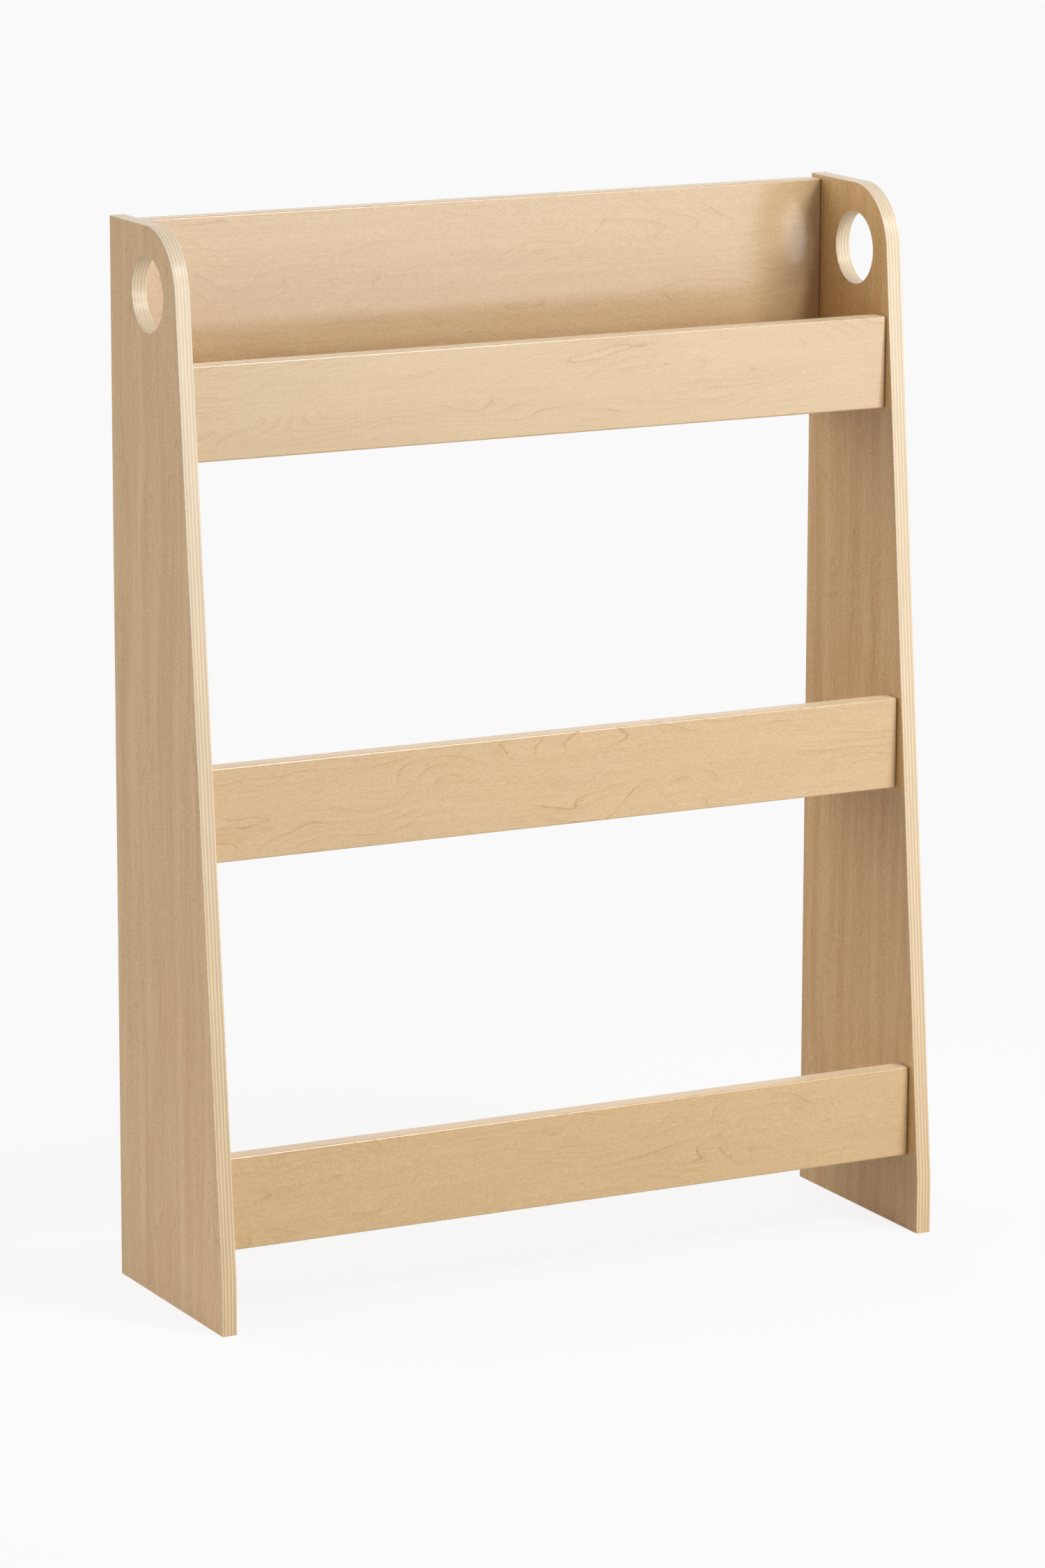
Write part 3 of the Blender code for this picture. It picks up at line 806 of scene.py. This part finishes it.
def plain_metal(name, colour, skin_kind, base_roughness, bump_distance):
    """Plated steel, or cast zinc with a grainier skin."""
    look = Shading(name)
    x, y, z = look.position()
    skin = look.solid(skin_kind, x, y, z)
    stain = look.solid(METAL_STAIN, x, y, z)
    share = look.span(look.add(skin, stain), -STAIN_REACH, STAIN_REACH)
    metal = look.mix(share, tinted(colour, METAL_DARK), tinted(colour, METAL_LIGHT))
    look.shader.inputs["Metallic"].default_value = 1.0
    roughness = look.add(
        base_roughness,
        look.times(skin, SKIN_ROUGHNESS),
        look.times(stain, STAIN_ROUGHNESS),
    )
    return look.finish(metal, roughness, skin, bump_distance)


# Floor, light and camera


def seen_directly(look):
    """1 for rays from the camera and in mirror-like reflections, 0 for the light on surfaces."""
    path = look.tree.nodes.new("ShaderNodeLightPath")
    seen = look.math("MAXIMUM", path.outputs["Is Camera Ray"], path.outputs["Is Glossy Ray"])
    return look.math("MAXIMUM", seen, path.outputs["Is Transmission Ray"])


def mirrored_level(look, ahead, fade, behind):
    """1 for the camera; for reflections, FRONT_SHEEN before the object and up to behind at its back."""
    camera_ray = look.node("ShaderNodeLightPath", {}, "Is Camera Ray")
    return look.math("MAXIMUM", look.span(ahead, -fade, 0.0, FRONT_SHEEN, behind), camera_ray)


def build_world():
    """White all round to the eye; as light, bright behind and to the left, and dim before the object."""
    world = bpy.data.worlds.new("studio")
    bpy.context.scene.world = world
    world.use_nodes = True
    look = Nodes(world.node_tree)
    look.tree.nodes.clear()
    white = rgb(1, 1, 1)
    direction = look.node("ShaderNodeTexCoord", {}, "Generated")
    _, y, z = look.parts(direction)

    shown_level = look.times(WHITE, mirrored_level(look, y, ROOM_FADE, 1.0))
    shown = look.node("ShaderNodeBackground", {"Color": white, "Strength": shown_level})

    bright_side = (-math.sin(ROOM_TURN), math.cos(ROOM_TURN), 0)
    dot = {0: direction, 1: bright_side}
    towards = look.node("ShaderNodeVectorMath", dot, "Value", operation="DOT_PRODUCT")
    around = look.span(towards, ROOM_EDGE, ROOM_CORE, ROOM_BEFORE, ROOM_BEHIND)
    overhead = look.span(z, OVERHEAD_EDGE, OVERHEAD_CORE, 1.0, ROOM_OVERHEAD)
    light_level = look.times(around, overhead)
    light = look.node("ShaderNodeBackground", {"Color": white, "Strength": light_level})

    mixed = look.node("ShaderNodeMixShader", {0: seen_directly(look), 1: light, 2: shown})
    output = look.tree.nodes.new("ShaderNodeOutputWorld")
    look.put(output.inputs["Surface"], mixed)


def build_floor():
    """A white floor that keeps a soft shadow round the object and runs out into plain white."""
    bm = bmesh.new()
    bmesh.ops.create_circle(bm, cap_ends=True, segments=FLOOR_SIDES, radius=FLOOR_RADIUS)
    floor = new_object("floor", mesh_of("floor", bm))
    look = Shading("floor_white")
    x, y, _ = look.position()
    away = look.math("SQRT", look.add(look.times(x, x), look.times(y, y)))
    plain = look.span(away, SHADOW_NEAR, SHADOW_FAR, 1 - SHADOW_SHARE, 1.0)
    brightness = look.span(away, SHADOW_NEAR, SHADOW_FAR, NEAR_GLOW, WHITE)
    brightness = look.times(brightness, mirrored_level(look, y, FLOOR_FADE, FLOOR_SHEEN))
    grey = rgb(FLOOR_COLOUR, FLOOR_COLOUR, FLOOR_COLOUR)
    paint = look.node("ShaderNodeBsdfDiffuse", {"Color": grey})
    glow = look.node("ShaderNodeEmission", {"Strength": brightness})
    share = look.times(plain, seen_directly(look))
    mixed = look.node("ShaderNodeMixShader", {0: share, 1: paint, 2: glow})
    look.tree.nodes.remove(look.shader)
    look.put(look.tree.nodes["Material Output"].inputs["Surface"], mixed)
    floor.data.materials.append(look.material)


def build_light():
    for lamp in LAMPS:
        light = bpy.data.lights.new(lamp.name, "AREA")
        light.shape = lamp.shape
        light.size = lamp.width
        light.size_y = lamp.height
        light.energy = lamp.power
        item = bpy.data.objects.new(lamp.name, light)
        item.location = lamp.place
        aim = LAMP_TARGET - lamp.place
        item.rotation_euler = aim.to_track_quat("-Z", "Y").to_euler()
        bpy.context.scene.collection.objects.link(item)


def build_camera():
    forward = Vector((
        math.sin(VIEW_AZIMUTH) * math.cos(VIEW_ELEVATION),
        math.cos(VIEW_AZIMUTH) * math.cos(VIEW_ELEVATION),
        -math.sin(VIEW_ELEVATION),
    ))
    level = Vector((math.cos(VIEW_AZIMUTH), -math.sin(VIEW_AZIMUTH), 0))
    right = level * math.cos(VIEW_ROLL) + level.cross(forward) * math.sin(VIEW_ROLL)
    upward = right.cross(forward)
    turn = Matrix((right, upward, -forward)).transposed().to_4x4()
    camera = bpy.data.objects.new("camera", bpy.data.cameras.new("camera"))
    camera.data.lens = LENS
    camera.matrix_world = Matrix.Translation(VIEW_TARGET - forward * VIEW_DISTANCE) @ turn
    bpy.context.scene.collection.objects.link(camera)
    bpy.context.scene.camera = camera


def build_sides():
    ply = ply_edge("ply_edge")
    for side, end in ENDS.items():
        sheet = Sheet(SIDE_COLOURS_WITH_PAINTED_SHADE[side], SIDE_SHIFT + end, SIDE_STREAKS, SIDE_LINES)
        face = veneer(side + "_veneer", sheet, upright=True)
        build_side(side + "_side_panel", end, [face, ply])


def build_boards():
    band = veneer("edge_band", BAND_SHEET, coat=BAND_COAT)
    painted_light_band = veneer("painted_light_edge_band", PAINTED_LIGHT_BAND_SHEET, coat=BAND_COAT)
    # The top rail's band is the paler copy: painted light
    bands = {"top_rail": painted_light_band}
    for node, sheet in BOARD_SHEETS.items():
        face = veneer(node + "_veneer", sheet)
        edge = bands.get(node, band)
        build_board(node, BOARD_EDGE_RADIUS, EDGE_SEGMENTS, face, edge, AXIS_Z)
    for node, shift in SHELF_SHIFTS.items():
        face = veneer(node + "_veneer", Sheet(SHELF_COLOUR, shift, SHELF_STREAKS, SHELF_LINES))
        build_board(node, SHELF_ARRIS, ARRIS_SEGMENTS, face, band, AXIS_Y)


def dress_fittings():
    fittings = {
        "dowel": turned_wood("dowel_beech", DOWEL_COLOUR),
        "cam_bolt": plain_metal(
            "plated_steel", STEEL_COLOUR, STEEL_SKIN, STEEL_ROUGHNESS, STEEL_BUMP
        ),
        "cam_lock": plain_metal(
            "cast_zinc", ZINC_COLOUR, ZINC_SKIN, ZINC_ROUGHNESS, ZINC_BUMP
        ),
    }
    for name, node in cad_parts.items():
        for kind, material in fittings.items():
            if kind in name:
                for slot in node.material_slots:
                    slot.material = material


build_camera()
build_world()
build_light()
build_floor()
build_sides()
build_boards()
dress_fittings()

bpy.context.scene.view_settings.view_transform = "Standard"

bpy.context.view_layer.update()
